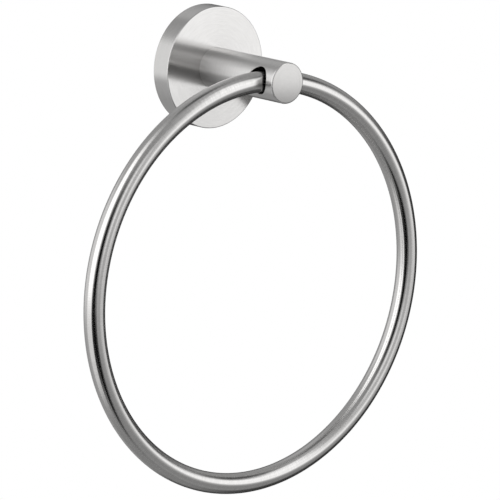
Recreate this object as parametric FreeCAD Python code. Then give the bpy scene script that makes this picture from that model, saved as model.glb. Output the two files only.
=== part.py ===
"""Towel ring in brushed stainless steel, for screwing to a wall.

A round cover flange hides a wall plate that is screwed to the wall. A plain round post stands out of the
flange, and a closed hoop of round bar hangs in a hole drilled across the post near its free end. The hoop is
thinner than that hole, so it swings.

Frame: millimetres, +Z up. The wall is the plane y = 0, the post runs along -Y out of it, and the origin is where
the post's axis meets the wall. At rest the hoop hangs straight down in a plane parallel to the wall.
"""

import FreeCAD
import Part

import math
import os

from FreeCAD import Vector

os.makedirs("parts", exist_ok=True)

# Cover flange: a turned cup, open towards the wall
FLANGE_DIAMETER = 54.0
FLANGE_DEPTH = 9.7
FLANGE_RIM_WALL = 3.0
FLANGE_WEB = 2.7
FLANGE_EDGE_CHAMFER = 0.4
FLANGE_BACK_CHAMFER = 0.3

# Post: a turned bar with a slightly crowned end, and a spigot that centres it in the flange
POST_DIAMETER = 18.0
POST_PROJECTION = 58.6
POST_END_CROWN = 0.4
POST_END_RADIUS = 0.6
SPIGOT_DIAMETER = 8.6
SPIGOT_SHORT_OF_WEB = 0.4
SPIGOT_CLEARANCE = 0.03
TAPPED_SPARE = 3.0
DRILL_POINT_ANGLE = 118.0

# Hoop, and the hole across the post that it hangs in
HOOP_OUTER_DIAMETER = 187.2
HOOP_BAR_DIAMETER = 9.2
CROSS_HOLE_DIAMETER = 11.8
CROSS_HOLE_FROM_END = 10.4
CROSS_HOLE_CHAMFER = 0.3
HOOP_SEAT_GAP = 0.75

# Wall plate: a disc inside the flange, with a V groove round its edge for the locking screw
PLATE_RIM_CLEARANCE = 0.35
PLATE_WEB_CLEARANCE = 1.0
PLATE_HEAD_CLEARANCE = 2.1
PLATE_EDGE_CHAMFER = 0.6
GROOVE_ANGLE = 90.0
GROOVE_SEAT_GAP = 0.1
SLOT_SPACING = 30.0
SLOT_WIDTH = 4.6
SLOT_LENGTH = 8.0
SLOT_COUNTERSINK = 1.6

# Locking screw: M4, headless with a cone point, in the underside of the flange's rim
LOCK_SCREW_DIAMETER = 4.0
LOCK_SCREW_LENGTH = 4.0
LOCK_SCREW_RECESS = 0.3
LOCK_SCREW_POINT_FLAT = 0.8
LOCK_SCREW_SOCKET = 2.0
LOCK_SCREW_SOCKET_DEPTH = 1.7
LOCK_SCREW_CHAMFER = 0.4

# Post screw: M6 button head on a split spring washer, driven from inside the flange
POST_SCREW_DIAMETER = 6.0
POST_SCREW_LENGTH = 14.0
POST_SCREW_CHAMFER = 0.7
HEAD_DIAMETER = 10.5
HEAD_HEIGHT = 3.3
HEAD_CROWN_DIAMETER = 5.6
HEAD_RIM = 0.5
HEAD_SOCKET = 4.0
HEAD_SOCKET_DEPTH = 2.1
WASHER_DIAMETER = 11.8
WASHER_BORE = 6.3
WASHER_THICKNESS = 1.6
WASHER_SPLIT = 1.2
WASHER_SPLIT_ANGLE = 20.0

# A tapped hole is drawn this much wider than its screw, all round
THREAD_CLEARANCE = 0.05

# Cutting solids run this far past what they cut
OVERSHOOT = 1.0

# Two places or radii nearer than this are the same one
SAME_PLACE = 1e-3

OUT_OF_WALL = Vector(0, -1, 0)
INTO_WALL = Vector(0, 1, 0)
ACROSS = Vector(1, 0, 0)
UP = Vector(0, 0, 1)

flange_radius = FLANGE_DIAMETER / 2
cavity_radius = flange_radius - FLANGE_RIM_WALL
cavity_depth = FLANGE_DEPTH - FLANGE_WEB
post_radius = POST_DIAMETER / 2
hole_radius = CROSS_HOLE_DIAMETER / 2
hoop_standoff = POST_PROJECTION - CROSS_HOLE_FROM_END
bar_radius = HOOP_BAR_DIAMETER / 2
hoop_radius = HOOP_OUTER_DIAMETER / 2 - bar_radius
plate_radius = cavity_radius - PLATE_RIM_CLEARANCE
plate_thickness = cavity_depth - PLATE_WEB_CLEARANCE
plate_bore_radius = WASHER_DIAMETER / 2 + PLATE_HEAD_CLEARANCE
lock_screw_depth = plate_thickness / 2
head_seat_depth = cavity_depth - WASHER_THICKNESS


def at_depth(depth, x=0.0, z=0.0):
    """A point that stands this far out from the wall."""
    return Vector(x, -depth, z)


def cylinder(radius, length, start, direction):
    """A cylinder of that radius whose first end is centred on start."""
    return Part.makeCylinder(radius, length, start, direction)


def turned(profile):
    """A solid of revolution about the post's axis, from a closed wire in the XY plane."""
    return Part.Face(profile).revolve(Vector(0, 0, 0), INTO_WALL, 360)


def turned_outline(outline):
    """A turned solid with straight sides. Each corner is (radius, distance from the wall)."""
    corners = [at_depth(depth, x=radius) for radius, depth in outline]
    return turned(Part.makePolygon(corners + corners[:1]))


def rim_edges(shape, radius, depth):
    """The edges that form the circle of that radius, this far out from the wall."""
    found = []
    for edge in shape.Edges:
        if edge.Degenerated or not isinstance(edge.Curve, Part.Circle):
            continue
        same_radius = math.isclose(edge.Curve.Radius, radius, abs_tol=SAME_PLACE)
        if same_radius and edge.Curve.Center.isEqual(at_depth(depth), SAME_PLACE):
            found.append(edge)
    return found


def hex_socket(across_flats, depth, start, direction):
    """A six-sided hole to cut out of a screw's end, with two corners in line across the object."""
    corner = ACROSS * (across_flats / math.sqrt(3))
    corners = [start + FreeCAD.Rotation(direction, 60 * side).multVec(corner) for side in range(6)]
    return Part.Face(Part.makePolygon(corners + corners[:1])).extrude(direction * depth)


def make_flange():
    """The cup: a rim, a web with a hole for the post's spigot, and a tapped hole for the locking screw."""
    locating_radius = SPIGOT_DIAMETER / 2 + SPIGOT_CLEARANCE
    cup = turned_outline(
        [
            (locating_radius, cavity_depth),
            (cavity_radius, cavity_depth),
            (cavity_radius, 0),
            (flange_radius, 0),
            (flange_radius, FLANGE_DEPTH),
            (locating_radius, FLANGE_DEPTH),
        ]
    )
    cup = cup.makeChamfer(FLANGE_EDGE_CHAMFER, rim_edges(cup, flange_radius, FLANGE_DEPTH))
    cup = cup.makeChamfer(FLANGE_BACK_CHAMFER, rim_edges(cup, flange_radius, 0))
    tapped_radius = LOCK_SCREW_DIAMETER / 2 + THREAD_CLEARANCE
    tapped_start = at_depth(lock_screw_depth, z=-flange_radius - OVERSHOOT)
    return cup.cut(cylinder(tapped_radius, FLANGE_RIM_WALL + 2 * OVERSHOOT, tapped_start, UP))


def make_post():
    """The bar, with its spigot and tapped hole at the wall end and the hole across it for the hoop."""
    spigot_depth = cavity_depth + SPIGOT_SHORT_OF_WEB
    hole_start = at_depth(hoop_standoff, x=-post_radius - OVERSHOOT)
    post = turned_bar(spigot_depth).cut(tapped_hole(spigot_depth))
    post = post.cut(cylinder(hole_radius, POST_DIAMETER + 2 * OVERSHOOT, hole_start, ACROSS))
    return post.makeChamfer(CROSS_HOLE_CHAMFER, cross_hole_edges(post))


def turned_bar(spigot_depth):
    """The post before any hole is made in it. Its free end is part of a large sphere, with a rounded edge."""
    spigot_radius = SPIGOT_DIAMETER / 2
    edge_depth = POST_PROJECTION - POST_END_CROWN
    edge = at_depth(edge_depth, x=post_radius)
    tip = at_depth(POST_PROJECTION)
    path = [
        tip,
        at_depth(spigot_depth),
        at_depth(spigot_depth, x=spigot_radius),
        at_depth(FLANGE_DEPTH, x=spigot_radius),
        at_depth(FLANGE_DEPTH, x=post_radius),
        edge,
    ]
    edges = [Part.LineSegment(a, b) for a, b in zip(path, path[1:])]
    edges.append(Part.Arc(edge, dome_middle(edge, tip), tip))
    bar = turned(Part.Wire([side.toShape() for side in edges]))
    return bar.makeFillet(POST_END_RADIUS, rim_edges(bar, post_radius, edge_depth))


def tapped_hole(start_depth):
    """A drilled and tapped hole that is a little deeper than the post screw reaches."""
    radius = POST_SCREW_DIAMETER / 2 + THREAD_CLEARANCE
    end_depth = head_seat_depth + POST_SCREW_LENGTH + TAPPED_SPARE
    drilled = cylinder(radius, end_depth - start_depth, at_depth(start_depth), OUT_OF_WALL)
    point_length = radius / math.tan(math.radians(DRILL_POINT_ANGLE / 2))
    return drilled.fuse(Part.makeCone(radius, 0, point_length, at_depth(end_depth), OUT_OF_WALL))


def cross_hole_edges(post):
    """The curved edges where the hole across the post breaks through its skin."""
    found = []
    for edge in post.Edges:
        if edge.Degenerated:
            continue
        middle = edge.valueAt((edge.FirstParameter + edge.LastParameter) / 2)
        from_hole_axis = math.hypot(middle.y + hoop_standoff, middle.z)
        from_post_axis = math.hypot(middle.x, middle.z)
        on_hole = math.isclose(from_hole_axis, hole_radius, abs_tol=SAME_PLACE)
        on_skin = math.isclose(from_post_axis, post_radius, abs_tol=SAME_PLACE)
        if on_hole and on_skin:
            found.append(edge)
    return found


def hoop_top_height():
    """Where the top of the hoop's centreline lies, above the post's axis, when the hoop hangs in the hole.

    The hoop bends away from the hole's floor towards both mouths, by the rise of its arc, and its underside
    meets the floor where the floor ends, at the post's skin.
    """
    floor_half_length = math.sqrt(post_radius**2 - hole_radius**2)
    arc_rise = hoop_radius - math.sqrt(hoop_radius**2 - floor_half_length**2)
    return bar_radius + arc_rise + HOOP_SEAT_GAP - hole_radius


def make_hoop():
    """A closed hoop of round bar, welded and ground so that no seam shows."""
    centre = at_depth(hoop_standoff, z=hoop_top_height() - hoop_radius)
    return Part.makeTorus(hoop_radius, bar_radius, centre, OUT_OF_WALL)


def groove_floor_radius():
    """The groove is as deep as the locking screw's cone reaches, less a small gap."""
    point_reach = flange_radius - LOCK_SCREW_RECESS - LOCK_SCREW_LENGTH
    flat_half_depth = LOCK_SCREW_POINT_FLAT / 2 / math.tan(math.radians(GROOVE_ANGLE / 2))
    return point_reach - flat_half_depth - GROOVE_SEAT_GAP


def make_wall_plate():
    """The disc that is screwed to the wall: a V groove round its edge, and two countersunk slots."""
    floor = groove_floor_radius()
    half_width = (plate_radius - floor) * math.tan(math.radians(GROOVE_ANGLE / 2))
    disc = turned_outline(
        [
            (plate_bore_radius, 0),
            (plate_radius, 0),
            (plate_radius, lock_screw_depth - half_width),
            (floor, lock_screw_depth),
            (plate_radius, lock_screw_depth + half_width),
            (plate_radius, plate_thickness),
            (plate_bore_radius, plate_thickness),
        ]
    )
    disc = disc.makeChamfer(PLATE_EDGE_CHAMFER, rim_edges(disc, plate_radius, plate_thickness))
    for side in (-1, 1):
        disc = disc.cut(countersunk_slot(side * SLOT_SPACING / 2))
    return disc


def countersunk_slot(centre_x):
    """A round-ended slot through the wall plate, countersunk at 45 degrees on the side away from the wall."""
    reach = (SLOT_LENGTH - SLOT_WIDTH) / 2
    start = at_depth(plate_thickness + OVERSHOOT, x=centre_x - reach)
    through = slot_prism(start, SLOT_WIDTH / 2, plate_thickness + 2 * OVERSHOOT, 2 * reach)
    wide = SLOT_WIDTH / 2 + SLOT_COUNTERSINK
    rim = slot_outline(at_depth(plate_thickness, x=centre_x - reach), wide, 2 * reach)
    floor_start = at_depth(plate_thickness - SLOT_COUNTERSINK, x=centre_x - reach)
    floor = slot_outline(floor_start, SLOT_WIDTH / 2, 2 * reach)
    return through.fuse(Part.makeLoft([rim, floor], True, True))


def slot_outline(start, half_width, run):
    """A round-ended outline parallel to the wall. Its left end is centred on start and its right end is run away."""
    above = UP * half_width
    end = start + ACROSS * run
    edges = [
        Part.LineSegment(start + above, end + above),
        Part.Arc(end + above, end + ACROSS * half_width, end - above),
        Part.LineSegment(end - above, start - above),
        Part.Arc(start - above, start - ACROSS * half_width, start + above),
    ]
    return Part.Wire([edge.toShape() for edge in edges])


def slot_prism(start, half_width, length, run):
    """A slot-shaped solid that runs towards the wall."""
    return Part.Face(slot_outline(start, half_width, run)).extrude(INTO_WALL * length)


def make_lock_screw():
    """A headless screw whose cone sits in the wall plate's groove. Its socket faces down."""
    radius = LOCK_SCREW_DIAMETER / 2
    flat_radius = LOCK_SCREW_POINT_FLAT / 2
    start = at_depth(lock_screw_depth, z=LOCK_SCREW_RECESS - flange_radius)
    cone_length = (radius - flat_radius) / math.tan(math.radians(GROOVE_ANGLE / 2))
    shank_length = LOCK_SCREW_LENGTH - LOCK_SCREW_CHAMFER - cone_length
    entry = Part.makeCone(radius - LOCK_SCREW_CHAMFER, radius, LOCK_SCREW_CHAMFER, start, UP)
    shank = cylinder(radius, shank_length, start + UP * LOCK_SCREW_CHAMFER, UP)
    point_start = start + UP * (LOCK_SCREW_LENGTH - cone_length)
    point = Part.makeCone(radius, flat_radius, cone_length, point_start, UP)
    screw = entry.fuse(shank).fuse(point)
    return screw.cut(hex_socket(LOCK_SCREW_SOCKET, LOCK_SCREW_SOCKET_DEPTH, start, UP))


def make_spring_washer():
    """A split washer, pressed flat between the flange's web and the post screw's head."""
    blank = cylinder(WASHER_DIAMETER / 2, WASHER_THICKNESS, at_depth(cavity_depth), INTO_WALL)
    bore = cylinder(WASHER_BORE / 2, WASHER_THICKNESS, at_depth(cavity_depth), INTO_WALL)
    corner = at_depth(cavity_depth + OVERSHOOT, x=-WASHER_SPLIT / 2)
    split = Part.makeBox(WASHER_SPLIT, WASHER_THICKNESS + 2 * OVERSHOOT, WASHER_DIAMETER, corner)
    split.rotate(at_depth(cavity_depth - WASHER_THICKNESS / 2), UP, WASHER_SPLIT_ANGLE)
    return blank.cut(bore).cut(split)


def make_post_screw():
    """A button-head screw that holds the post to the flange. Its head faces the wall."""
    seat = head_seat_depth
    crown_depth = seat - HEAD_HEIGHT
    tip = seat + POST_SCREW_LENGTH
    shank_radius = POST_SCREW_DIAMETER / 2
    rim = at_depth(seat - HEAD_RIM, x=HEAD_DIAMETER / 2)
    crown = at_depth(crown_depth, x=HEAD_CROWN_DIAMETER / 2)
    path = [
        crown,
        at_depth(crown_depth),
        at_depth(tip),
        at_depth(tip, x=shank_radius - POST_SCREW_CHAMFER),
        at_depth(tip - POST_SCREW_CHAMFER, x=shank_radius),
        at_depth(seat, x=shank_radius),
        at_depth(seat, x=HEAD_DIAMETER / 2),
        rim,
    ]
    edges = [Part.LineSegment(a, b) for a, b in zip(path, path[1:])]
    edges.append(Part.Arc(rim, dome_middle(rim, crown), crown))
    screw = turned(Part.Wire([edge.toShape() for edge in edges]))
    return screw.cut(hex_socket(HEAD_SOCKET, HEAD_SOCKET_DEPTH, at_depth(crown_depth), OUT_OF_WALL))


def dome_middle(rim, crown):
    """The middle of a dome's arc, which is part of a sphere centred on the post's axis."""
    centre_y = (rim.dot(rim) - crown.dot(crown)) / (2 * (rim.y - crown.y))
    centre = Vector(0, centre_y, 0)
    towards_middle = (rim - centre) + (crown - centre)
    return centre + towards_middle.normalize() * (rim - centre).Length


NODES = {
    "flange": make_flange,
    "post": make_post,
    "ring": make_hoop,
    "wall_plate": make_wall_plate,
    "lock_screw": make_lock_screw,
    "spring_washer": make_spring_washer,
    "post_screw": make_post_screw,
}

for name, make in NODES.items():
    shape = make()
    shape.exportStep(f"parts/{name}.step")
    print(f"{name}: valid {shape.isValid()}, solids {len(shape.Solids)}, volume {shape.Volume:.1f} cubic mm")
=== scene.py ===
# %% [markdown]
# # A towel ring in brushed stainless steel
#
# This lesson dresses a finished construction model of a towel ring. The model comes from CAD as seven
# solids: a flange, a post, a ring, and four hidden pieces that hold them to the wall. They have the right
# sizes and places. Here each piece is made again with Blender's own tools, as smooth as the real metal, and
# gets its finish. Light and a camera come first, because polished metal can't be judged without them.

import math

import bmesh
import bpy
from mathutils import Matrix, Vector


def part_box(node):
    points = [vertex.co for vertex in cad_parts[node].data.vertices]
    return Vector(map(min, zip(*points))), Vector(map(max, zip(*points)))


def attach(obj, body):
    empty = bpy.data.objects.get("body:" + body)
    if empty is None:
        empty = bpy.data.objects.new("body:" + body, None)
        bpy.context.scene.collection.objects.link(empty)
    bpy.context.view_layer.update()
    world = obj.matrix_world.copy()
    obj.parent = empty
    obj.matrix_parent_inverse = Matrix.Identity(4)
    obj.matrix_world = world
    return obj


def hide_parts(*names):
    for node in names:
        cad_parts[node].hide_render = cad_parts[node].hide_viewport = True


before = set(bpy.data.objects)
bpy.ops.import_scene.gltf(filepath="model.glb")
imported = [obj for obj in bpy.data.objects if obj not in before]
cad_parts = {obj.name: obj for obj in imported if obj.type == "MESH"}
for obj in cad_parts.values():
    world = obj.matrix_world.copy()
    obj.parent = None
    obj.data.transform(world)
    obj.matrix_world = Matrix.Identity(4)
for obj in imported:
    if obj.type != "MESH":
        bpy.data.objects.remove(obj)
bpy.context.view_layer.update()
print("pieces in the frame:", sorted(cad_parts))

# %% [markdown]
# ## Sizes
#
# Lengths in a workshop drawing are millimetres, and Blender counts in metres. One value turns the first
# into the second, so every size below can be read against a ruler. The outer sizes of the three pieces that
# show are measured from the boxes of their CAD pieces. Sizes inside a box, such as holes and roundings, and
# those of the hidden pieces are given beside the piece that needs them.

# %% Sizes
MM = 0.001


def size_of(node):
    """The length of a node's box along each axis."""
    low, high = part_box(node)
    return high - low


ring_low, ring_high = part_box("ring")
bar_radius = size_of("ring").y / 2
hoop_radius = size_of("ring").x / 2 - bar_radius
hoop_centre = (ring_low + ring_high) / 2
flange_radius = size_of("flange").x / 2
flange_depth = -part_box("flange")[0].y
post_radius = size_of("post").x / 2
post_length = -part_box("post")[0].y
print(f"bar {2 * bar_radius / MM:.2f} mm, hoop centreline radius {hoop_radius / MM:.2f} mm")
print(f"flange {2 * flange_radius / MM:.2f} mm across, post {2 * post_radius / MM:.2f} mm across")

# %% [markdown]
# ## The camera
#
# The photograph looks at the towel ring from its left and a little from above, through a long lens that
# keeps the hoop almost free of perspective. The camera was slightly turned about its own axis as well, so
# the post's end seems to drop. A few angles, a distance and a focal length place it. They were found by
# laying the flange's and the hoop's ellipses over those in the photograph.

# %% Camera
CAMERA_AZIMUTH = -41.16
CAMERA_ELEVATION = 9.25
CAMERA_ROLL = 4.72
CAMERA_DISTANCE = 1800 * MM
CAMERA_TARGET = Vector((37.34, 0, -84.73)) * MM
CAMERA_REACH = 50000 * MM
FOCAL_LENGTH_PIXELS = 4002.5
IMAGE_PIXELS = 500
SENSOR_WIDTH = 36

azimuth, elevation, roll = (math.radians(a) for a in (CAMERA_AZIMUTH, CAMERA_ELEVATION, CAMERA_ROLL))
towards_camera = Vector(
    (
        math.sin(azimuth) * math.cos(elevation),
        -math.cos(azimuth) * math.cos(elevation),
        math.sin(elevation),
    )
)
camera_data = bpy.data.cameras.new("photo_camera")
camera_data.sensor_width = SENSOR_WIDTH
camera_data.lens = FOCAL_LENGTH_PIXELS / IMAGE_PIXELS * SENSOR_WIDTH
camera_data.clip_end = CAMERA_REACH
camera = bpy.data.objects.new("photo_camera", camera_data)
bpy.context.scene.collection.objects.link(camera)
camera.rotation_mode = "QUATERNION"
rolled = Matrix.Rotation(roll, 4, "Z").to_quaternion()
camera.rotation_quaternion = towards_camera.to_track_quat("Z", "Y") @ rolled
camera.location = CAMERA_TARGET + towards_camera * CAMERA_DISTANCE
bpy.context.scene.camera = camera
bpy.context.scene.view_settings.view_transform = "Standard"
print(f"lens {camera_data.lens:.0f} mm, camera at {[round(c, 3) for c in camera.location]} m")

# %% [markdown]
# ## A helper for node trees
#
# A material is a tree of nodes. One small function adds a node, sets its values and joins its inputs, so a
# material reads from top to bottom like a recipe. Colours are written as on a screen, in hex, and a second
# function turns them into the linear light that Blender works in.

# %% Node helper


def add_node(tree, kind, settings=None, inputs=None):
    """Adds a node. An input is a plain value, a node, which gives its first output, or one output of it."""
    node = tree.nodes.new("ShaderNode" + kind)
    for name, value in (settings or {}).items():
        setattr(node, name, value)
    for name, value in (inputs or {}).items():
        if isinstance(value, bpy.types.Node):
            value = value.outputs[0]
        if isinstance(value, bpy.types.NodeSocket):
            tree.links.new(value, node.inputs[name])
        else:
            node.inputs[name].default_value = value
    return node


def linear(hex_colour, alpha=1.0):
    """An sRGB hex colour as the linear colour that Blender works in."""
    channels = [int(hex_colour[i : i + 2], 16) / 255 for i in (1, 3, 5)]
    return [c / 12.92 if c <= 0.04045 else ((c + 0.055) / 1.055) ** 2.4 for c in channels] + [alpha]


print("pure white is", linear("#FFFFFF"))

# %% [markdown]
# ## The studio
#
# Metal shows its surroundings more than itself, so most of this picture is made by the studio. The
# photograph's background is plain white. The world gives that white to the camera, and to metal and glass
# wherever nothing hangs in front of it, while a greyer world lights what is matt, such as the floor.

# %% World
WORLD_LIGHT = 0.8
WHITE = (1, 1, 1, 1)

world = bpy.data.worlds.new("white_studio")
bpy.context.scene.world = world
world.use_nodes = True
tree = world.node_tree
tree.nodes.clear()
path = add_node(tree, "LightPath")
seen = path.outputs["Is Camera Ray"]
for ray in ("Is Glossy Ray", "Is Transmission Ray"):
    seen = add_node(tree, "Math", {"operation": "MAXIMUM"}, {0: seen, 1: path.outputs[ray]})
strength = add_node(tree, "Mix", {"data_type": "FLOAT"}, {"Factor": seen, "A": WORLD_LIGHT, "B": 1.0})
background = add_node(tree, "Background", inputs={"Color": WHITE, "Strength": strength})
add_node(tree, "OutputWorld", inputs={"Surface": background})
print(f"the world is white where it is seen, and {WORLD_LIGHT} where it lights")

# %% [markdown]
# ## The light tent
#
# A photographer hangs shiny metal inside a tent of cloth with a few panels: a bright one where a highlight
# should run, and a dark one where an edge should show. Each panel here is a soft-edged patch of the tent,
# given by the direction in which the towel ring sees it: degrees round to the right of straight ahead, and
# degrees up.
#
# Each panel has its own work. The front softbox lights the flange's face and the post's end, and draws a
# bright line round the whole hoop. The left softbox, with the low one under it, draws the broader line on
# the hoop's left-hand edges, and the upper one the bright lines on top of the post and at the hoop's top
# and bottom. The left reflector lights the flange's rim. The black flag, the low flag and the dark gap
# stand between bright panels, so that dark lines part the bright ones on the hoop, and the post sees them
# by way of the flange, as dark bands near its foot. The right flag draws the thin dark line on the hoop's
# right-hand edges.
#
# A row of the table holds a panel's name, its angle to the right and up, half its width and half its
# height, how wide its soft edge is at the sides and at the ends, all in degrees, and how bright it is. The
# order matters, because a later panel hangs in front of an earlier one.

# %% Light tent panels
PANELS = (
    ("table", 0, -90, 200, 34, 20, 16, 0.33),
    ("zenith", 0, 90, 200, 10, 20, 12, 0.02),
    ("back ceiling", 162, 50, 18, 16, 16, 14, 0.6),
    ("front ceiling", 25, 60, 36, 14, 24, 14, 0.6),
    ("front low", 15, -28, 45, 20, 30, 20, 0.35),
    ("front sheet", 24, 6, 46, 24, 16, 16, 0.65),
    ("front edge", -15, 14, 9, 16, 12, 16, 1.3),
    ("front softbox", 42, 8, 20, 16, 16, 12, 1.6),
    ("upper softbox", 33, 36, 13, 18, 12, 14, 1.8),
    ("high flag", 68, 42, 14, 14, 14, 12, 0.03),
    ("right flag", 110, -24, 42, 38, 16, 16, 0.05),
    ("left curtain", -120, 5, 34, 52, 30, 26, 0.55),
    ("left reflector", -142, 5, 24, 22, 24, 12, 1.0),
    ("left softbox", -94, 10, 24, 48, 16, 28, 2.0),
    ("low softbox", -96, -34, 28, 20, 16, 16, 1.0),
    ("black flag", -47, -8, 12, 38, 8, 20, 0.0),
    ("low flag", -60, -28, 9, 24, 10, 16, 0.02),
    ("dark gap", -28, -38, 14, 24, 12, 14, 0.0),
)
print(f"{len(PANELS)} panels, the brightest {max(panel[-1] for panel in PANELS)}")

# %% [markdown]
# A panel's outline could be painted on a picture for the tent, but then every change would mean painting it
# again. Nodes can draw it from the numbers in its row. One function turns a direction into two angles, and
# the other says how far inside a stretch of angles a point lies.

# %% Angles and soft edges


def angles_of(tree, direction):
    """Nodes for a direction's angle to the right of straight ahead and its angle up, in degrees."""
    split = add_node(tree, "SeparateXYZ", inputs={0: direction})
    ahead = add_node(tree, "Math", {"operation": "MULTIPLY"}, {0: split.outputs["Y"], 1: -1})
    right = add_node(tree, "Math", {"operation": "ARCTAN2"}, {0: split.outputs["X"], 1: ahead})
    up = add_node(tree, "Math", {"operation": "ARCSINE"}, {0: split.outputs["Z"]})
    return [add_node(tree, "Math", {"operation": "DEGREES"}, {0: angle}) for angle in (right, up)]


def inside(tree, angle, middle, half_size, edge):
    """One inside a stretch of angles, falling smoothly to nothing across its soft edge."""
    away = add_node(tree, "Math", {"operation": "SUBTRACT"}, {0: angle, 1: middle})
    away = add_node(tree, "Math", {"operation": "ABSOLUTE"}, {0: away})
    return add_node(
        tree,
        "MapRange",
        {"interpolation_type": "SMOOTHSTEP"},
        {
            "Value": away,
            "From Min": half_size - edge / 2,
            "From Max": half_size + edge / 2,
            "To Min": 1.0,
            "To Max": 0.0,
        },
    )


print(f"in these angles the camera stands at {CAMERA_AZIMUTH:.0f} and {CAMERA_ELEVATION:.0f} degrees")

# %% [markdown]
# The cloth glows by itself. It starts at one level all over, and each panel in turn is laid over what is
# there so far. The cloth is no lamp, so Blender is told not to send light from it on purpose: reflections
# find it anyway.

# %% Tent cloth
TENT_LEVEL = 0.42

tent_cloth = bpy.data.materials.new("tent_cloth")
tent_cloth.use_nodes = True
tent_cloth.cycles.emission_sampling = "NONE"
tree = tent_cloth.node_tree
tree.nodes.clear()
place = add_node(tree, "TexCoord")
direction = add_node(tree, "VectorMath", {"operation": "NORMALIZE"}, {0: place.outputs["Object"]})
angle_right, angle_up = angles_of(tree, direction)
level = TENT_LEVEL
for name, right, up, half_width, half_height, side_edge, end_edge, brightness in PANELS:
    across = inside(tree, angle_right, right, half_width, side_edge)
    upward = inside(tree, angle_up, up, half_height, end_edge)
    cover = add_node(tree, "Math", {"operation": "MULTIPLY", "label": name}, {0: across, 1: upward})
    level = add_node(tree, "Mix", {"data_type": "FLOAT"}, {"Factor": cover, "A": level, "B": brightness})
glow = add_node(tree, "Emission", inputs={"Color": WHITE, "Strength": level})
add_node(tree, "OutputMaterial", inputs={"Surface": glow})
print(f"the tent's cloth has {len(tree.nodes)} nodes")

# %% [markdown]
# The tent itself is a round ball of cloth, larger than the object and far enough away that every point of
# the hoop sees the panels in nearly the same direction. Only reflections see it: it hides nothing from the
# camera, throws no shadow, and doesn't light matt things.

# %% Light tent
TENT_RADIUS = 1400 * MM
TENT_SEGMENTS = 64
TENT_RINGS = 32

bpy.ops.object.select_all(action="DESELECT")
bpy.ops.mesh.primitive_uv_sphere_add(
    segments=TENT_SEGMENTS,
    ring_count=TENT_RINGS,
    radius=TENT_RADIUS,
    location=(0, hoop_centre.y, hoop_centre.z / 2),
)
tent = bpy.context.object
tent.name = "light_tent"
tent.data.materials.append(tent_cloth)
tent.visible_camera = False
tent.visible_diffuse = False
tent.visible_transmission = False
tent.visible_shadow = False
print(f"the tent is {2 * TENT_RADIUS / MM:.0f} mm across")

# %% [markdown]
# ## The floor
#
# The towel ring hangs on a wall, so nothing stands on the floor. A pale round floor lies well below it,
# outside the tent. It catches a soft shadow, and its edge fades out so that no line shows against the
# white.

# %% Floor
FLOOR_BELOW_TENT = 30 * MM
FLOOR_RADIUS = 1500 * MM
FLOOR_SIDES = 96
FLOOR_COLOUR = "#F4F4F3"
FADE_START = 0.5
FADE_END = 0.98

floor_finish = bpy.data.materials.new("matt_white_floor")
floor_finish.use_nodes = True
tree = floor_finish.node_tree
tree.nodes.clear()
place = add_node(tree, "TexCoord")
from_middle = add_node(tree, "VectorMath", {"operation": "LENGTH"}, {0: place.outputs["Object"]})
fade = add_node(
    tree,
    "MapRange",
    {"interpolation_type": "SMOOTHSTEP"},
    {
        "Value": from_middle.outputs["Value"],
        "From Min": FLOOR_RADIUS * FADE_START,
        "From Max": FLOOR_RADIUS * FADE_END,
    },
)
paint = add_node(tree, "BsdfDiffuse", inputs={"Color": linear(FLOOR_COLOUR)})
clear = add_node(tree, "BsdfTransparent")
faded = add_node(tree, "MixShader", inputs={0: fade, 1: paint, 2: clear})
add_node(tree, "OutputMaterial", inputs={"Surface": faded})

bpy.ops.object.select_all(action="DESELECT")
bpy.ops.mesh.primitive_circle_add(
    vertices=FLOOR_SIDES,
    radius=FLOOR_RADIUS,
    fill_type="NGON",
    location=(0, hoop_centre.y, tent.location.z - TENT_RADIUS - FLOOR_BELOW_TENT),
)
floor = bpy.context.object
floor.name = "floor"
floor.data.materials.append(floor_finish)
print(f"the floor lies {-floor.location.z / MM:.0f} mm below the post")

# %% [markdown]
# A wide soft lamp above gives the floor its shadow. It is kept out of reflections, where the tent's panels
# already do its work.

# %% Soft lamp above
LAMP_HEIGHT = 900 * MM
LAMP_WIDTH = 700 * MM
LAMP_WATTS = 6

lamp_data = bpy.data.lights.new("softbox_above", "AREA")
lamp_data.shape = "DISK"
lamp_data.size = LAMP_WIDTH
lamp_data.energy = LAMP_WATTS
lamp = bpy.data.objects.new("softbox_above", lamp_data)
bpy.context.scene.collection.objects.link(lamp)
lamp.location = (0, hoop_centre.y, LAMP_HEIGHT)
lamp.visible_glossy = False
print(f"a lamp of {LAMP_WATTS} W, {LAMP_WIDTH / MM:.0f} mm across")

# %% [markdown]
# ## Brushed steel
#
# Brushing and turning leave fine grooves that all run one way. A groove scatters light across itself and
# hardly along itself, so a reflection is drawn out at right angles to the grooves and stays sharp the other
# way. On the ring the grooves run round the bar, so its long lines of light stay narrow. On the flange and
# the post they run round the post's axis, as the lathe left them.
#
# A picture of scratches wrapped round each piece could give this too, but its seams would show. Here the
# nodes work out, from the place of each point, which way its groove runs. The first function does that for
# any axis along Y, and the next two say for a turned piece and for the ring's bar what lies across a groove
# and what lies along it.

# %% Directions of the grooves


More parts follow.
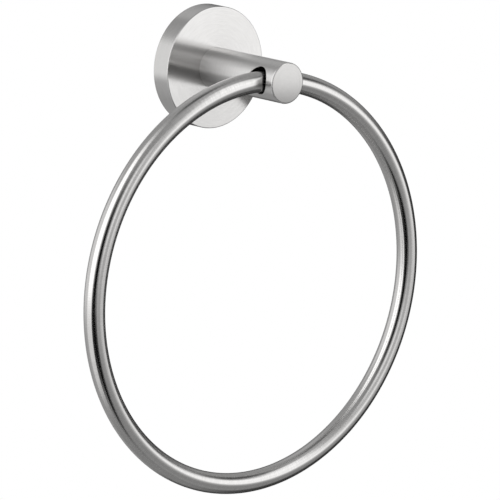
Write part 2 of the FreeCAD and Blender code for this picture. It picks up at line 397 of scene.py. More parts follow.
def round_the_axis(tree, centre):
    """Where a point lies round an axis along Y: its offset, how far out, the way out and the way round."""
    place = add_node(tree, "TexCoord")
    offset = add_node(tree, "VectorMath", {"operation": "SUBTRACT"}, {0: place.outputs["Object"], 1: centre})
    flat = add_node(tree, "VectorMath", {"operation": "MULTIPLY"}, {0: offset, 1: (1, 0, 1)})
    radius = add_node(tree, "VectorMath", {"operation": "LENGTH"}, {0: flat}).outputs["Value"]
    outward = add_node(tree, "VectorMath", {"operation": "NORMALIZE"}, {0: flat})
    around = add_node(tree, "VectorMath", {"operation": "CROSS_PRODUCT"}, {0: outward, 1: (0, 1, 0)})
    around = add_node(
        tree,
        "VectorTransform",
        {"vector_type": "VECTOR", "convert_from": "OBJECT", "convert_to": "WORLD"},
        {0: around},
    )
    return offset, radius, outward, around


def grooves_of_a_lathe(tree):
    """Grooves round the post's axis. Across them is outwards on a face, and along the axis on a side."""
    offset, radius, outward, around = round_the_axis(tree, (0, 0, 0))
    depth = add_node(tree, "SeparateXYZ", inputs={0: offset}).outputs["Y"]
    across = add_node(tree, "Math", {"operation": "SUBTRACT"}, {0: radius, 1: depth})
    return across, outward, around


def grooves_round_the_bar(tree):
    """Grooves round the ring's bar. Across them is along the hoop, and along them is round the section."""
    offset, radius, outward, around = round_the_axis(tree, hoop_centre)
    depth = add_node(tree, "SeparateXYZ", inputs={0: offset}).outputs["Y"]
    way = add_node(tree, "SeparateXYZ", inputs={0: outward})
    below = add_node(tree, "Math", {"operation": "MULTIPLY"}, {0: way.outputs["Z"], 1: -1})
    angle = add_node(tree, "Math", {"operation": "ARCTAN2"}, {0: way.outputs["X"], 1: below})
    across = add_node(tree, "Math", {"operation": "MULTIPLY"}, {0: angle, 1: hoop_radius})
    out_of_bar = add_node(tree, "Math", {"operation": "SUBTRACT"}, {0: radius, 1: hoop_radius})
    section = add_node(tree, "CombineXYZ", inputs={"X": out_of_bar, "Y": depth})
    return across, add_node(tree, "VectorMath", {"operation": "NORMALIZE"}, {0: section}), around


print(f"a groove round the bar is {2 * math.pi * bar_radius / MM:.0f} mm long")

# %% [markdown]
# One recipe serves all the steels. Its noise is drawn out along the grooves, and a fourth coordinate keeps
# it from repeating or meeting in a seam on the way round. The noise shifts the colour and the roughness a
# little from groove to groove and tilts the surface, and an anisotropic metal shader spreads the light
# across the grooves.
#
# Real grooves are too fine for this picture, where one pixel covers about 0.45 mm of the ring. A fine belt
# leaves them about 0.05 mm apart and a lathe's tool about 0.1 mm. They are drawn seven and five times as
# coarse, and deeper as well, so that their slopes stay gentle but still show.

# %% The recipe for steel
BELT_GROOVE = 0.05 * MM
BELT_COARSER = 7
LATHE_GROOVE = 0.1 * MM
LATHE_COARSER = 5
GROOVE_DETAIL = 2.0
GROOVE_UNEVENNESS = 0.6
ROUGHNESS_SWING = 0.15
SPREAD_ALONG_TANGENT = 0.0
SPREAD_ACROSS_TANGENT = 0.25

belt_spacing = BELT_GROOVE * BELT_COARSER
lathe_spacing = LATHE_GROOVE * LATHE_COARSER


def grooved_steel(name, grooves, light, dark, roughness, anisotropy, turn, spacing, depth, breaks):
    """A steel with grooves of a spacing and depth, which break up a number of times in each radian round."""
    steel = bpy.data.materials.new(name)
    steel.use_nodes = True
    tree = steel.node_tree
    tree.nodes.clear()
    across, along, tangent = grooves(tree)
    step = add_node(tree, "Math", {"operation": "DIVIDE"}, {0: across, 1: spacing})
    step = add_node(tree, "CombineXYZ", inputs={"X": step})
    along = add_node(tree, "VectorMath", {"operation": "MULTIPLY"}, {0: along, 1: (breaks, breaks, breaks)})
    at = add_node(tree, "VectorMath", {"operation": "MULTIPLY_ADD"}, {0: along, 1: (0, 1, 1), 2: step})
    side = add_node(tree, "SeparateXYZ", inputs={0: along}).outputs["X"]
    fine = add_node(
        tree,
        "TexNoise",
        {"noise_dimensions": "4D"},
        {"Vector": at, "W": side, "Scale": 1.0, "Detail": GROOVE_DETAIL, "Roughness": GROOVE_UNEVENNESS},
    )
    shade = add_node(
        tree, "Mix", {"data_type": "RGBA"}, {"Factor": fine, "A": linear(dark), "B": linear(light)}
    )
    rough = add_node(
        tree,
        "MapRange",
        inputs={
            "Value": fine,
            "To Min": roughness * (1 + ROUGHNESS_SWING),
            "To Max": roughness * (1 - ROUGHNESS_SWING),
        },
    )
    bump = add_node(tree, "Bump", inputs={"Strength": 1.0, "Distance": depth, "Height": fine})
    shader = add_node(
        tree,
        "BsdfPrincipled",
        inputs={
            "Base Color": shade.outputs["Result"],
            "Metallic": 1.0,
            "Roughness": rough,
            "Anisotropic": anisotropy,
            "Anisotropic Rotation": turn,
            "Tangent": tangent,
            "Normal": bump,
        },
    )
    add_node(tree, "OutputMaterial", inputs={"Surface": shader})
    print(f"{name}: roughness {roughness}, grooves {spacing / MM:.2f} mm apart")
    return steel


# %% [markdown]
# ### Belt-brushed bar
#
# The ring is stainless steel bar, brushed round with a fine abrasive belt. Round its section it is nearly a
# mirror, so the eye sees sharp lines of light and dark that follow the hoop all the way, and a faint grain
# that runs across them. Stainless steel is a slightly warm grey, so its colours here are nearly neutral.

# %% Ring steel
ring_steel = grooved_steel(
    "stainless_brushed_round_the_bar",
    grooves_round_the_bar,
    light="#D9D8D7",
    dark="#B5B4B3",
    roughness=0.18,
    anisotropy=0.9,
    turn=SPREAD_ALONG_TANGENT,
    spacing=belt_spacing,
    depth=0.01 * MM,
    breaks=1.0,
)

# %% [markdown]
# ### Satin turned bar
#
# The post is stainless steel that was turned and then brushed while it spun. It looks softer than the ring:
# its bands of light run along the post with blurred edges, and its grain goes round it.

# %% Post steel
post_steel = grooved_steel(
    "stainless_turned_post",
    grooves_of_a_lathe,
    light="#DFDEDD",
    dark="#CBCAC9",
    roughness=0.3,
    anisotropy=0.95,
    turn=SPREAD_ACROSS_TANGENT,
    spacing=belt_spacing,
    depth=0.02 * MM,
    breaks=1.5,
)

# %% [markdown]
# ### Satin turned disc
#
# The flange was brushed in the same way, but finer. Its grooves are circles round the post, so its flat
# face mirrors the post as a long smear that runs outwards from the post's foot, and that smear is most of
# what the eye sees on it.

# %% Flange steel
flange_steel = grooved_steel(
    "stainless_turned_flange",
    grooves_of_a_lathe,
    light="#D4D3D2",
    dark="#C5C4C3",
    roughness=0.17,
    anisotropy=0.95,
    turn=SPREAD_ACROSS_TANGENT,
    spacing=belt_spacing,
    depth=0.004 * MM,
    breaks=4.0,
)

# %% [markdown]
# ### Faced end
#
# The post's end was faced on the lathe as the last step and rubbed lightly every way, so its gloss has no
# direction. It looks evenly pale, with a soft change of tone from top to bottom.

# %% End steel
end_steel = grooved_steel(
    "stainless_faced_end",
    grooves_of_a_lathe,
    light="#BBBAB9",
    dark="#AFAEAD",
    roughness=0.2,
    anisotropy=0.0,
    turn=SPREAD_ACROSS_TANGENT,
    spacing=lathe_spacing,
    depth=0.001 * MM,
    breaks=1.5,
)

# %% [markdown]
# ### Drilled steel with painted shade
#
# Nobody polishes the inside of a hole. A drill leaves it rough, and light that enters a narrow hole hardly
# comes out, so it reads as black beside the bright metal. That shade is painted here, as this steel's
# nearly black colour.

# %% Bore steel
# Both colours are nearly black: the shade inside a narrow hole is painted into this steel.
hole_steel_painted_shade = grooved_steel(
    "steel_painted_dark_as_hole_shade",
    grooves_of_a_lathe,
    light="#494847",
    dark="#2D2C2B",
    roughness=0.5,
    anisotropy=0.0,
    turn=SPREAD_ACROSS_TANGENT,
    spacing=lathe_spacing,
    depth=0.0006 * MM,
    breaks=1.5,
)

# %% [markdown]
# ### Plain turned plate and bought screws
#
# The wall plate hides behind the flange, so it was left as the lathe's tool cut it: greyer and duller than
# the pieces in front, with rings that just show. The screws and the washer are bought stainless parts. They
# were rolled and tumbled, which leaves them a little darker and evenly shiny.

# %% Plate and screw steel
plate_steel = grooved_steel(
    "stainless_turned_plate",
    grooves_of_a_lathe,
    light="#BCBBBA",
    dark="#A8A7A6",
    roughness=0.42,
    anisotropy=0.3,
    turn=SPREAD_ACROSS_TANGENT,
    spacing=lathe_spacing,
    depth=0.001 * MM,
    breaks=4.0,
)
screw_steel = grooved_steel(
    "stainless_screw",
    grooves_of_a_lathe,
    light="#C8C7C6",
    dark="#B4B3B2",
    roughness=0.3,
    anisotropy=0.2,
    turn=SPREAD_ACROSS_TANGENT,
    spacing=lathe_spacing,
    depth=0.0006 * MM,
    breaks=2.0,
)

# %% [markdown]
# ## Tools for modelling
#
# An operator acts on all that is selected, so every step starts by selecting nothing. By hand, vertices are
# then picked with the mouse. A script picks them by their place instead, with a test that says which ones
# it wants. A spun mesh ends with two vertices in one spot here and there, and some of its faces may look
# inwards, so the last helper merges the first and turns the second.

# %% Selecting and closing
SAME_PLACE = 0.001 * MM


def choose(piece):
    """Makes one piece the only selected one, and the active one."""
    bpy.ops.object.select_all(action="DESELECT")
    piece.select_set(True)
    bpy.context.view_layer.objects.active = piece


def select_vertices(test):
    """Selects the vertices of the mesh in edit mode that pass a test of their place."""
    bpy.ops.mesh.select_mode(type="VERT")
    bpy.ops.mesh.select_all(action="DESELECT")
    mesh = bmesh.from_edit_mesh(bpy.context.object.data)
    for vertex in mesh.verts:
        vertex.select_set(test(vertex.co))
    mesh.select_flush(True)
    bmesh.update_edit_mesh(bpy.context.object.data)


def give(piece, material):
    """Puts one material on the whole of a piece."""
    piece.data.materials.clear()
    piece.data.materials.append(material)


def close_up(piece):
    """Merges a mesh's doubled vertices, turns its faces outwards and leaves edit mode."""
    bpy.ops.mesh.select_all(action="SELECT")
    bpy.ops.mesh.remove_doubles(threshold=SAME_PLACE)
    bpy.ops.mesh.normals_make_consistent(inside=False)
    bpy.ops.object.mode_set(mode="OBJECT")
    print(f"{piece.name}: {len(piece.data.vertices)} vertices once closed")


# %% [markdown]
# ### A lathe
#
# All the pieces but the ring are round about a straight axis, as if turned on a lathe, and Spin is
# Blender's lathe: it takes an outline once round an axis. They could be built up from cylinders and cut
# with others, but each cut leaves uneven faces, and a spun outline leaves none. The outline starts as a
# plane merged to a single vertex, which is extruded from corner to corner. A corner that is beveled before
# the spin becomes a rounded edge all the way round, and such edges catch the light.

# %% A lathe
LATHE_STEPS = 256
ROUNDING_STEPS = 4
TOWARDS_ROOM = Vector((0, -1, 0))


def turned(name, corners, origin=Vector((0, 0, 0)), along=TOWARDS_ROOM, roundings=None, steps=LATHE_STEPS):
    """Spins an outline into a solid.

    Each corner is (radius, distance along the axis) in mm, and roundings gives some corners, by their
    number in the list, a rounding in mm.
    """
    points = [origin + (Vector((1, 0, 0)) * radius + along * distance) * MM for radius, distance in corners]
    bpy.ops.object.select_all(action="DESELECT")
    bpy.ops.mesh.primitive_plane_add(size=MM, location=points[0])
    piece = bpy.context.object
    piece.name = name
    bpy.ops.object.transform_apply(location=True, rotation=True, scale=True)
    bpy.ops.object.mode_set(mode="EDIT")
    bpy.ops.mesh.select_all(action="SELECT")
    bpy.ops.mesh.merge(type="CENTER")
    for here, there in zip(points, points[1:]):
        bpy.ops.mesh.extrude_vertices_move(TRANSFORM_OT_translate={"value": there - here})
    bpy.ops.mesh.select_all(action="SELECT")
    bpy.ops.mesh.remove_doubles(threshold=SAME_PLACE)
    for corner, rounding in (roundings or {}).items():
        select_vertices(lambda place: (place - points[corner]).length < SAME_PLACE)
        bpy.ops.mesh.bevel(offset=rounding * MM, segments=ROUNDING_STEPS, affect="VERTICES")
    bpy.ops.mesh.select_all(action="SELECT")
    bpy.ops.mesh.spin(steps=steps, angle=2 * math.pi, center=origin, axis=along)
    close_up(piece)
    return piece


# %% [markdown]
# ### Cutting, smoothing and handing over
#
# Holes that don't lie on the lathe's axis are cut with a Boolean modifier, as a drill would. Where a cutter
# lines up with edges of the piece, the cut leaves faces with no area, so doubled vertices are merged and
# such faces dissolved at once. Smooth shading is then limited by angle, so curved walls look round while
# machined corners stay crisp, and weighted normals keep flat faces flat beside small roundings. A finished
# piece takes the place of its CAD node and moves with that node's body, and its box, its volume and any
# open edges are printed, because a leak or a wrong size doesn't always show.

# %% Cutting, smoothing and handing over
SHARP_ANGLE = math.radians(35)


def cut(piece, cutter):
    """Cuts another object's shape out of a piece. The cut faces take that object's material."""
    choose(piece)
    bpy.ops.object.modifier_add(type="BOOLEAN")
    difference = piece.modifiers[-1]
    difference.operation = "DIFFERENCE"
    difference.solver = "EXACT"
    difference.material_mode = "TRANSFER"
    difference.object = cutter
    bpy.ops.object.modifier_apply(modifier=difference.name)
    bpy.data.objects.remove(cutter)
    bpy.ops.object.mode_set(mode="EDIT")
    bpy.ops.mesh.select_all(action="SELECT")
    bpy.ops.mesh.remove_doubles(threshold=SAME_PLACE)
    bpy.ops.mesh.dissolve_degenerate(threshold=SAME_PLACE)
    bpy.ops.object.mode_set(mode="OBJECT")


def smooth(piece):
    """Smooth shading that leaves flat faces flat and machined corners crisp."""
    choose(piece)
    bpy.ops.object.shade_smooth_by_angle(angle=SHARP_ANGLE)
    bpy.ops.object.modifier_add(type="WEIGHTED_NORMAL")
    weighted = piece.modifiers[-1]
    weighted.keep_sharp = True
    bpy.ops.object.modifier_apply(modifier=weighted.name)


def stands_for(piece, body, node):
    """Lets a piece take the place of its CAD node, riding with that node's body, and prints its box, volume
    and open edges.
    """
    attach(piece, body)
    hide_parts(node)
    low = Vector([min(v.co[i] for v in piece.data.vertices) for i in range(3)])
    high = Vector([max(v.co[i] for v in piece.data.vertices) for i in range(3)])
    cad_low, cad_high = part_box(node)
    off = max((low - cad_low).length, (high - cad_high).length) / MM
    mesh = bmesh.new()
    mesh.from_mesh(piece.data)
    open_edges = sum(1 for edge in mesh.edges if not edge.is_manifold)
    volume = mesh.calc_volume() / MM**3
    mesh.free()
    print(
        f"{piece.name}: {len(piece.data.polygons)} faces, box within {off:.3f} mm of its CAD node's, "
        f"{volume:.0f} cubic mm, {open_edges} open edges"
    )


# %% [markdown]
# ## The ring
#
# The ring is one length of round bar, bent into a circle, butt-welded and ground until the weld is gone, so
# it has no seam to model. A torus primitive has the right shape at once. Here a circle the size of the
# bar's section is spun round the hoop's own axis instead, which is the same thing by hand, and the doubled
# section where the spin meets itself is merged. The hoop fills the picture, so it gets enough steps that
# its outline shows no corners.

# %% Ring
BAR_SIDES = 80
HOOP_STEPS = 512

bpy.ops.object.select_all(action="DESELECT")
bpy.ops.mesh.primitive_circle_add(
    vertices=BAR_SIDES,
    radius=bar_radius,
    location=hoop_centre + Vector((0, 0, hoop_radius)),
    rotation=(0, math.pi / 2, 0),
)
ring = bpy.context.object
ring.name = "steel_ring"
bpy.ops.object.transform_apply(location=True, rotation=True, scale=True)
bpy.ops.object.mode_set(mode="EDIT")
bpy.ops.mesh.select_all(action="SELECT")
bpy.ops.mesh.spin(steps=HOOP_STEPS, angle=2 * math.pi, center=hoop_centre, axis=(0, 1, 0))
close_up(ring)
bpy.ops.object.shade_smooth()
give(ring, ring_steel)
stands_for(ring, "hoop", "ring")

# %% [markdown]
# ## The flange
#
# The flange is a shallow cup, turned from bar: a thick web in front and a rim that reaches back to the
# wall, with the wall plate hidden in between. Its outline is the cup's wall cut through on one side, gone
# round once and closed where it began. The front edge has the larger rounding, which draws a thin line of
# its own round the face.

# %% Flange
RIM_WALL = 3.0
WEB = 2.7
SPIGOT_HOLE_RADIUS = 4.33
FACE_EDGE = 0.4
BACK_EDGE = 0.3

flange_r = flange_radius / MM
flange_d = flange_depth / MM
cavity_depth = flange_d - WEB
flange = turned(
    "steel_flange",
    [
        (SPIGOT_HOLE_RADIUS, cavity_depth),
        (flange_r - RIM_WALL, cavity_depth),
        (flange_r - RIM_WALL, 0),
        (flange_r, 0),
        (flange_r, flange_d),
        (SPIGOT_HOLE_RADIUS, flange_d),
        (SPIGOT_HOLE_RADIUS, cavity_depth),
    ],
    roundings={3: BACK_EDGE, 4: FACE_EDGE},
)
give(flange, flange_steel)

# %% [markdown]
# A small hole in the underside of the rim takes the locking screw. It faces the floor, where nobody sees
# it. A cylinder, a little longer than the rim is thick, cuts it, and the cut faces keep the cylinder's
# steel, whose nearly black colour is painted shade.

# %% Tapped hole in the flange's rim
LOCK_SCREW_DEPTH = 3.0
TAPPED_RADIUS = 2.05
TAPPED_SIDES = 48
THROUGH = 1.0

bpy.ops.object.select_all(action="DESELECT")
bpy.ops.mesh.primitive_cylinder_add(
    vertices=TAPPED_SIDES,
    radius=TAPPED_RADIUS * MM,
    depth=(RIM_WALL + 2 * THROUGH) * MM,
    location=Vector((0, -LOCK_SCREW_DEPTH, -flange_r + RIM_WALL / 2)) * MM,
)
tapped = bpy.context.object
give(tapped, hole_steel_painted_shade)
cut(flange, tapped)
smooth(flange)
stands_for(flange, "wall_mount", "flange")

# %% [markdown]
# ## The post
#
# The post is a round bar that stands on the flange. A narrow spigot at its foot centres it in the flange's
# hole, and a tapped hole runs up its middle and ends in the cone that a drill's point leaves. Its free end
# isn't quite flat: a crown of under half a millimetre keeps it from looking hollow. The crown is part of a
# large sphere, so its outline is worked out from the sphere's radius, in small steps.

# %% Post
END_CROWN = 0.4
END_EDGE = 0.6
SPIGOT_RADIUS = 4.3
SPIGOT_DEPTH = 7.4
SCREW_HOLE_RADIUS = 3.05
SCREW_HOLE_DEPTH = 22.4
DRILL_POINT = 1.83
CROWN_STEPS = 12

post_r = post_radius / MM
post_d = post_length / MM
crown_radius = (post_r**2 + END_CROWN**2) / (2 * END_CROWN)


def crown_depth(radius):
    """How far out the post's crowned end stands, at this distance from its axis."""
    return post_d - crown_radius + math.sqrt(crown_radius**2 - radius**2)


crown_radii = [post_r * step / CROWN_STEPS for step in range(CROWN_STEPS)]
crown = [(radius, crown_depth(radius)) for radius in crown_radii]
post = turned(
    "steel_post",
    [
        (0, SCREW_HOLE_DEPTH + DRILL_POINT),
        (SCREW_HOLE_RADIUS, SCREW_HOLE_DEPTH),
        (SCREW_HOLE_RADIUS, SPIGOT_DEPTH),
        (SPIGOT_RADIUS, SPIGOT_DEPTH),
        (SPIGOT_RADIUS, flange_d),
        (post_r, flange_d),
        (post_r, crown_depth(post_r)),
        *reversed(crown),
    ],
    roundings={6: END_EDGE},
)
give(post, post_steel)
print(f"crown radius {crown_radius:.1f} mm")

# %% [markdown]
# The end has a finish of its own. A piece can bear several materials, each in a slot, and faces are given
# to a slot in edit mode. All that stands as far out as the crown's rim belongs to the end.

# %% The end's own finish
RIM_MARGIN = 0.1

post.data.materials.append(end_steel)
bpy.ops.object.mode_set(mode="EDIT")
select_vertices(lambda place: -place.y / MM > crown_depth(post_r) - RIM_MARGIN)
post.active_material_index = 1
bpy.ops.object.material_slot_assign()
bpy.ops.object.mode_set(mode="OBJECT")
print(f"{sum(1 for face in post.data.polygons if face.material_index == 1)} faces bear the end's finish")

# %% [markdown]
# ## The hole across the post
#
# The ring passes through a plain hole across the post. Where a hole meets a round bar its edge is curved
# like a saddle, so a cone can't chamfer it evenly, and a Bevel modifier stumbles over the narrow faces that
# a cut leaves.
#
# The cutter is made to fit instead. It starts as an open tube, and Shrinkwrap slides the tube's two ends
# along X on to the post's surface, which gives both the saddle's exact shape. Each end is then pulled in by
# the depth of the chamfer, drawn out again while it widens, and drawn on past the post and closed. One cut
# makes hole and chamfers.

# %% A drill that fits the post
HOLE_RADIUS = 5.9
HOLE_SIDES = 128
MOUTH_CHAMFER = 0.3
BEYOND = 3.0

bpy.ops.object.select_all(action="DESELECT")
bpy.ops.mesh.primitive_cylinder_add(
    vertices=HOLE_SIDES,
    radius=HOLE_RADIUS * MM,
    depth=2 * (post_r + BEYOND) * MM,
    end_fill_type="NOTHING",
    location=(0, hoop_centre.y, 0),
    rotation=(0, math.pi / 2, 0),
)
drill = bpy.context.object
drill.name = "drill"
bpy.ops.object.transform_apply(location=True, rotation=True, scale=True)
bpy.ops.object.modifier_add(type="SHRINKWRAP")
wrap = drill.modifiers[-1]
wrap.target = post
wrap.wrap_method = "PROJECT"
wrap.use_project_x = True
wrap.use_negative_direction = True
bpy.ops.object.modifier_apply(modifier=wrap.name)

bpy.ops.object.mode_set(mode="EDIT")
flare = 1 + 2 * MOUTH_CHAMFER / HOLE_RADIUS
for side in (-1, 1):
    select_vertices(lambda place: place.x * side > 0)
    bpy.ops.transform.translate(value=(-side * MOUTH_CHAMFER * MM, 0, 0))
    bpy.ops.mesh.extrude_region_move(TRANSFORM_OT_translate={"value": (side * 2 * MOUTH_CHAMFER * MM, 0, 0)})
    bpy.ops.transform.resize(value=(1, flare, flare), center_override=(0, hoop_centre.y, 0))
    bpy.ops.mesh.extrude_region_move(TRANSFORM_OT_translate={"value": (side * BEYOND * MM, 0, 0)})
    bpy.ops.transform.resize(value=(0, 1, 1), center_override=(side * (post_r + BEYOND) * MM, 0, 0))
    bpy.ops.mesh.edge_face_add()
close_up(drill)

# %% [markdown]
# The whole cut comes out in the drill's steel, whose nearly black colour is painted shade. The chamfers
# were brushed with the post, so they are given back to the post's own slot. No other faces near the hole
# have all their corners on one side of the post, because the hole's long faces run right through it.

# %% Drill the post
give(drill, hole_steel_painted_shade)
cut(post, drill)
mouth_radius = HOLE_RADIUS + 2 * MOUTH_CHAMFER
bpy.ops.object.mode_set(mode="EDIT")
for side in (-1, 1):
    select_vertices(
        lambda place: place.x * side > 0 and math.hypot(place.y - hoop_centre.y, place.z) < mouth_radius * MM
    )
    post.active_material_index = 0
    bpy.ops.object.material_slot_assign()
bpy.ops.object.mode_set(mode="OBJECT")
smooth(post)
stands_for(post, "wall_mount", "post")

# %% [markdown]
# ## The hidden fixings
#
# Behind the flange's face sits a disc that is screwed to the wall. The flange slips over it, and a small
# headless screw in the underside of the rim runs into the V groove round the disc. A button-head screw on a
# split washer pulls the post against the flange from inside. None of this shows once the towel ring hangs,
# but all of it shows from the back, so it is modelled as carefully as the rest.
#
# ### Wall plate
#
# The wall plate's outline is a rectangle with a V in its outer side.

# %% Wall plate
PLATE_RADIUS = 23.65
PLATE_THICKNESS = 6.0
PLATE_BORE_RADIUS = 8.0
GROOVE_FLOOR_RADIUS = 22.2
PLATE_EDGE = 0.6

groove_half_width = PLATE_RADIUS - GROOVE_FLOOR_RADIUS
plate = turned(
    "wall_disc",
    [
        (PLATE_BORE_RADIUS, 0),
        (PLATE_RADIUS, 0),
        (PLATE_RADIUS, LOCK_SCREW_DEPTH - groove_half_width),
        (GROOVE_FLOOR_RADIUS, LOCK_SCREW_DEPTH),
        (PLATE_RADIUS, LOCK_SCREW_DEPTH + groove_half_width),
        (PLATE_RADIUS, PLATE_THICKNESS),
        (PLATE_BORE_RADIUS, PLATE_THICKNESS),
        (PLATE_BORE_RADIUS, 0),
    ],
    roundings={5: PLATE_EDGE},
)
give(plate, plate_steel)

# %% [markdown]
# ### Slots for the wall screws
#
# Each wall screw goes through a short slot, so the plate can be shifted a little until it is level. A slot
# is a round hole whose two halves are pulled apart, and its countersink is a cone pulled apart by the same
# length. Two cutters would meet exactly in one edge, and there a Boolean's result can change a little from
# run to run. So one cutter has both shapes: a cylinder whose outer end is extruded and widened by as much,
# which slopes at 45 degrees.

# %% Countersunk slots
SLOT_PLACE = 15.0
SLOT_WIDTH = 4.6
SLOT_LENGTH = 8.0
SLOT_SIDES = 64
COUNTERSINK = 1.6

slot_radius = SLOT_WIDTH / 2
stretch = (SLOT_LENGTH - SLOT_WIDTH) / 2
sink_depth = PLATE_THICKNESS - COUNTERSINK
cone_length = COUNTERSINK + THROUGH
widening = 1 + cone_length / slot_radius
for side in (-1, 1):
    bpy.ops.object.select_all(action="DESELECT")
    bpy.ops.mesh.primitive_cylinder_add(
        vertices=SLOT_SIDES,
        radius=slot_radius * MM,
        depth=(THROUGH + sink_depth) * MM,
        location=Vector((side * SLOT_PLACE, (THROUGH - sink_depth) / 2, 0)) * MM,
        rotation=(math.pi / 2, 0, 0),
    )
    slot_cutter = bpy.context.object
    slot_cutter.name = "slot_cutter"
    bpy.ops.object.transform_apply(location=True, rotation=True, scale=True)
    bpy.ops.object.mode_set(mode="EDIT")
    select_vertices(lambda place: place.y < SAME_PLACE - sink_depth * MM)
    bpy.ops.mesh.extrude_region_move(TRANSFORM_OT_translate={"value": TOWARDS_ROOM * cone_length * MM})
    bpy.ops.transform.resize(value=(widening, 1, widening), center_override=(side * SLOT_PLACE * MM, 0, 0))
    for half in (-1, 1):
        select_vertices(lambda place: half * (place.x - side * SLOT_PLACE * MM) > SAME_PLACE)
        bpy.ops.transform.translate(value=(half * stretch * MM, 0, 0))
    close_up(slot_cutter)
    # The slot's walls take the nearly black steel, whose colour is painted shade.
    give(slot_cutter, hole_steel_painted_shade)
    cut(plate, slot_cutter)
smooth(plate)
stands_for(plate, "wall_mount", "wall_plate")

# %% [markdown]
# ### Threads
#
# A metric thread is a V groove that winds round a shank, one turn for each pitch, and it is 0.61 of the
# pitch deep. The Screw modifier can wind a tooth round an axis, but the helix ends in open steps that have
# to be closed by hand. Here the shank's outline gets eight corners for each turn instead. After the spin,
# each vertex sinks towards the axis by its distance from the crest, which depends on how far along and how
# far round it lies. The thread fades out over one pitch at both ends, as a rolled one does.

# %% Threads
RINGS_PER_TURN = 8
THREAD_DEPTH = 0.61


def shank(radius, start, end, pitch):
    """Corners along a shank, close enough together to carry a thread."""
    count = round((end - start) / pitch * RINGS_PER_TURN)
    return [(radius, start + (end - start) * step / count) for step in range(count + 1)]


def cut_thread(screw, origin, along, rings, pitch):
    """Sinks a thread into the rings of a screw's shank. Its origin, rings and pitch are in mm."""
    (radius, start), (radius, end) = rings[0], rings[-1]
    right = Vector((1, 0, 0))
    up = along.cross(right)
    for vertex in screw.data.vertices:
        place = vertex.co / MM - origin
        distance = place.dot(along)
        outward = place - along * distance
        if start < distance < end and outward.length > radius - SAME_PLACE / MM:
            turn = math.atan2(outward.dot(up), outward.dot(right)) / (2 * math.pi)
            from_crest = 1 - abs(2 * ((distance / pitch - turn) % 1) - 1)
            fade = min(1, (distance - start) / pitch, (end - distance) / pitch)
            vertex.co -= outward.normalized() * THREAD_DEPTH * pitch * from_crest * fade * MM
    print(f"{screw.name}: {(end - start) / pitch:.1f} turns of thread")


# %% [markdown]
# ### Locking screw
#
# The locking screw has no head. It has a cone at one end, which bites into the plate's groove, and a socket
# for a six-sided key at the other. It stands upright in the flange's rim, so it is turned about an upright
# axis. A cylinder with six sides is all the cutter that a socket needs.

# %% Locking screw
LOCK_SCREW_START = 26.7
LOCK_SCREW_LENGTH = 4.0
LOCK_SCREW_RADIUS = 2.0
LOCK_SCREW_EDGE = 0.4
LOCK_SCREW_FLAT = 0.4
LOCK_SCREW_PITCH = 0.7
LOCK_KEY = 2.0
LOCK_SOCKET_DEPTH = 1.7
LOCK_SCREW_STEPS = 64
KEY_SIDES = 6


def cut_socket(screw, across_flats, depth, mouth, rotation):
    """Cuts a six-sided hole for a key into a screw's end."""
    bpy.ops.object.select_all(action="DESELECT")
    bpy.ops.mesh.primitive_cylinder_add(
        vertices=KEY_SIDES,
        radius=across_flats / math.sqrt(3) * MM,
        depth=2 * depth * MM,
        location=mouth * MM,
        rotation=rotation,
    )
    socket = bpy.context.object
    # The socket's walls take the nearly black steel, whose colour is painted shade.
    give(socket, hole_steel_painted_shade)
    cut(screw, socket)


lock_start = Vector((0, -LOCK_SCREW_DEPTH, -LOCK_SCREW_START))
lock_along = Vector((0, 0, 1))
cone_start = LOCK_SCREW_LENGTH - LOCK_SCREW_RADIUS + LOCK_SCREW_FLAT
lock_rings = shank(LOCK_SCREW_RADIUS, LOCK_SCREW_EDGE, cone_start, LOCK_SCREW_PITCH)
lock_screw = turned(
    "locking_screw",
    [
        (0, 0),
        (LOCK_SCREW_RADIUS - LOCK_SCREW_EDGE, 0),
        *lock_rings,
        (LOCK_SCREW_FLAT, LOCK_SCREW_LENGTH),
        (0, LOCK_SCREW_LENGTH),
    ],
    origin=lock_start * MM,
    along=lock_along,
    steps=LOCK_SCREW_STEPS,
)
cut_thread(lock_screw, lock_start, lock_along, lock_rings, LOCK_SCREW_PITCH)
give(lock_screw, screw_steel)
cut_socket(lock_screw, LOCK_KEY, LOCK_SOCKET_DEPTH, lock_start, (0, 0, math.pi / 2))
smooth(lock_screw)
stands_for(lock_screw, "wall_mount", "lock_screw")

# %% [markdown]
# ### Split washer
#
# The split washer is a flat ring with a slanting gap, which lets it act as a spring. A slanting box cuts
# the gap.

# %% Split washer
WASHER_RADIUS = 5.9
WASHER_BORE_RADIUS = 3.15
WASHER_THICKNESS = 1.6
WASHER_SPLIT = 1.2
WASHER_SPLIT_ANGLE = 20
WASHER_EDGE = 0.15
SPLIT_BOX_DEPTH = 6.4
SMALL_LATHE_STEPS = 128

head_seat = cavity_depth - WASHER_THICKNESS
washer = turned(
    "split_washer",
    [
        (WASHER_BORE_RADIUS, head_seat),
        (WASHER_RADIUS, head_seat),
        (WASHER_RADIUS, cavity_depth),
        (WASHER_BORE_RADIUS, cavity_depth),
        (WASHER_BORE_RADIUS, head_seat),
    ],
    roundings={1: WASHER_EDGE, 2: WASHER_EDGE},
    steps=SMALL_LATHE_STEPS,
)
give(washer, screw_steel)
bpy.ops.object.select_all(action="DESELECT")
bpy.ops.mesh.primitive_cube_add(
    size=MM,
    location=Vector((0, -head_seat - WASHER_THICKNESS / 2, WASHER_RADIUS)) * MM,
    rotation=(0, 0, math.radians(WASHER_SPLIT_ANGLE)),
    scale=(WASHER_SPLIT, SPLIT_BOX_DEPTH, 2 * WASHER_RADIUS),
)
split = bpy.context.object
give(split, screw_steel)
cut(washer, split)
smooth(washer)
stands_for(washer, "wall_mount", "spring_washer")

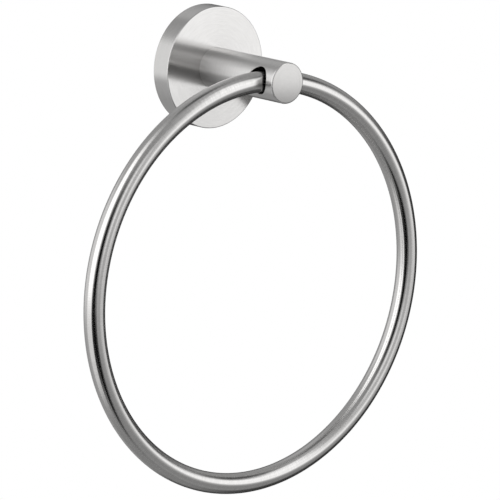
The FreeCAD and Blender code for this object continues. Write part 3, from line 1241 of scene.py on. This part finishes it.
# %% [markdown]
# ### Post screw
#
# The post's screw has a button head: a low dome with a flat top, where the socket goes in. The dome is part
# of a sphere whose centre lies on the screw's axis. The head's rim and the edge of its flat top are both on
# that sphere, which fixes the centre, and the dome's outline follows from it in even steps.

# %% Post screw
HEAD_RADIUS = 5.25
HEAD_HEIGHT = 3.3
HEAD_RIM = 0.5
HEAD_FLAT_RADIUS = 2.8
HEAD_KEY = 4.0
HEAD_SOCKET_DEPTH = 2.1
SHANK_RADIUS = 3.0
SHANK_LENGTH = 14.0
SHANK_EDGE = 0.7
SHANK_PITCH = 1.0
PLAIN_NECK = 1.0
DOME_STEPS = 10

head_top = head_seat - HEAD_HEIGHT
rim_depth = head_seat - HEAD_RIM
dome_rise = rim_depth - head_top
dome_centre = (rim_depth**2 + HEAD_RADIUS**2 - head_top**2 - HEAD_FLAT_RADIUS**2) / (2 * dome_rise)
dome_radius = math.hypot(HEAD_RADIUS, rim_depth - dome_centre)
top_angle = math.asin(HEAD_FLAT_RADIUS / dome_radius)
rim_angle = math.asin(HEAD_RADIUS / dome_radius)
dome_angles = [top_angle + (rim_angle - top_angle) * step / DOME_STEPS for step in range(DOME_STEPS + 1)]
screw_tip = head_seat + SHANK_LENGTH
shank_rings = shank(SHANK_RADIUS, head_seat + PLAIN_NECK, screw_tip - SHANK_EDGE, SHANK_PITCH)
post_screw = turned(
    "button_head_screw",
    [
        (0, head_top),
        *[(dome_radius * math.sin(a), dome_centre - dome_radius * math.cos(a)) for a in dome_angles],
        (HEAD_RADIUS, head_seat),
        (SHANK_RADIUS, head_seat),
        *shank_rings,
        (SHANK_RADIUS - SHANK_EDGE, screw_tip),
        (0, screw_tip),
    ],
    steps=SMALL_LATHE_STEPS,
)
cut_thread(post_screw, Vector((0, 0, 0)), TOWARDS_ROOM, shank_rings, SHANK_PITCH)
give(post_screw, screw_steel)
cut_socket(post_screw, HEAD_KEY, HEAD_SOCKET_DEPTH, Vector((0, -head_top, 0)), (math.pi / 2, math.pi / 2, 0))
smooth(post_screw)
stands_for(post_screw, "wall_mount", "post_screw")
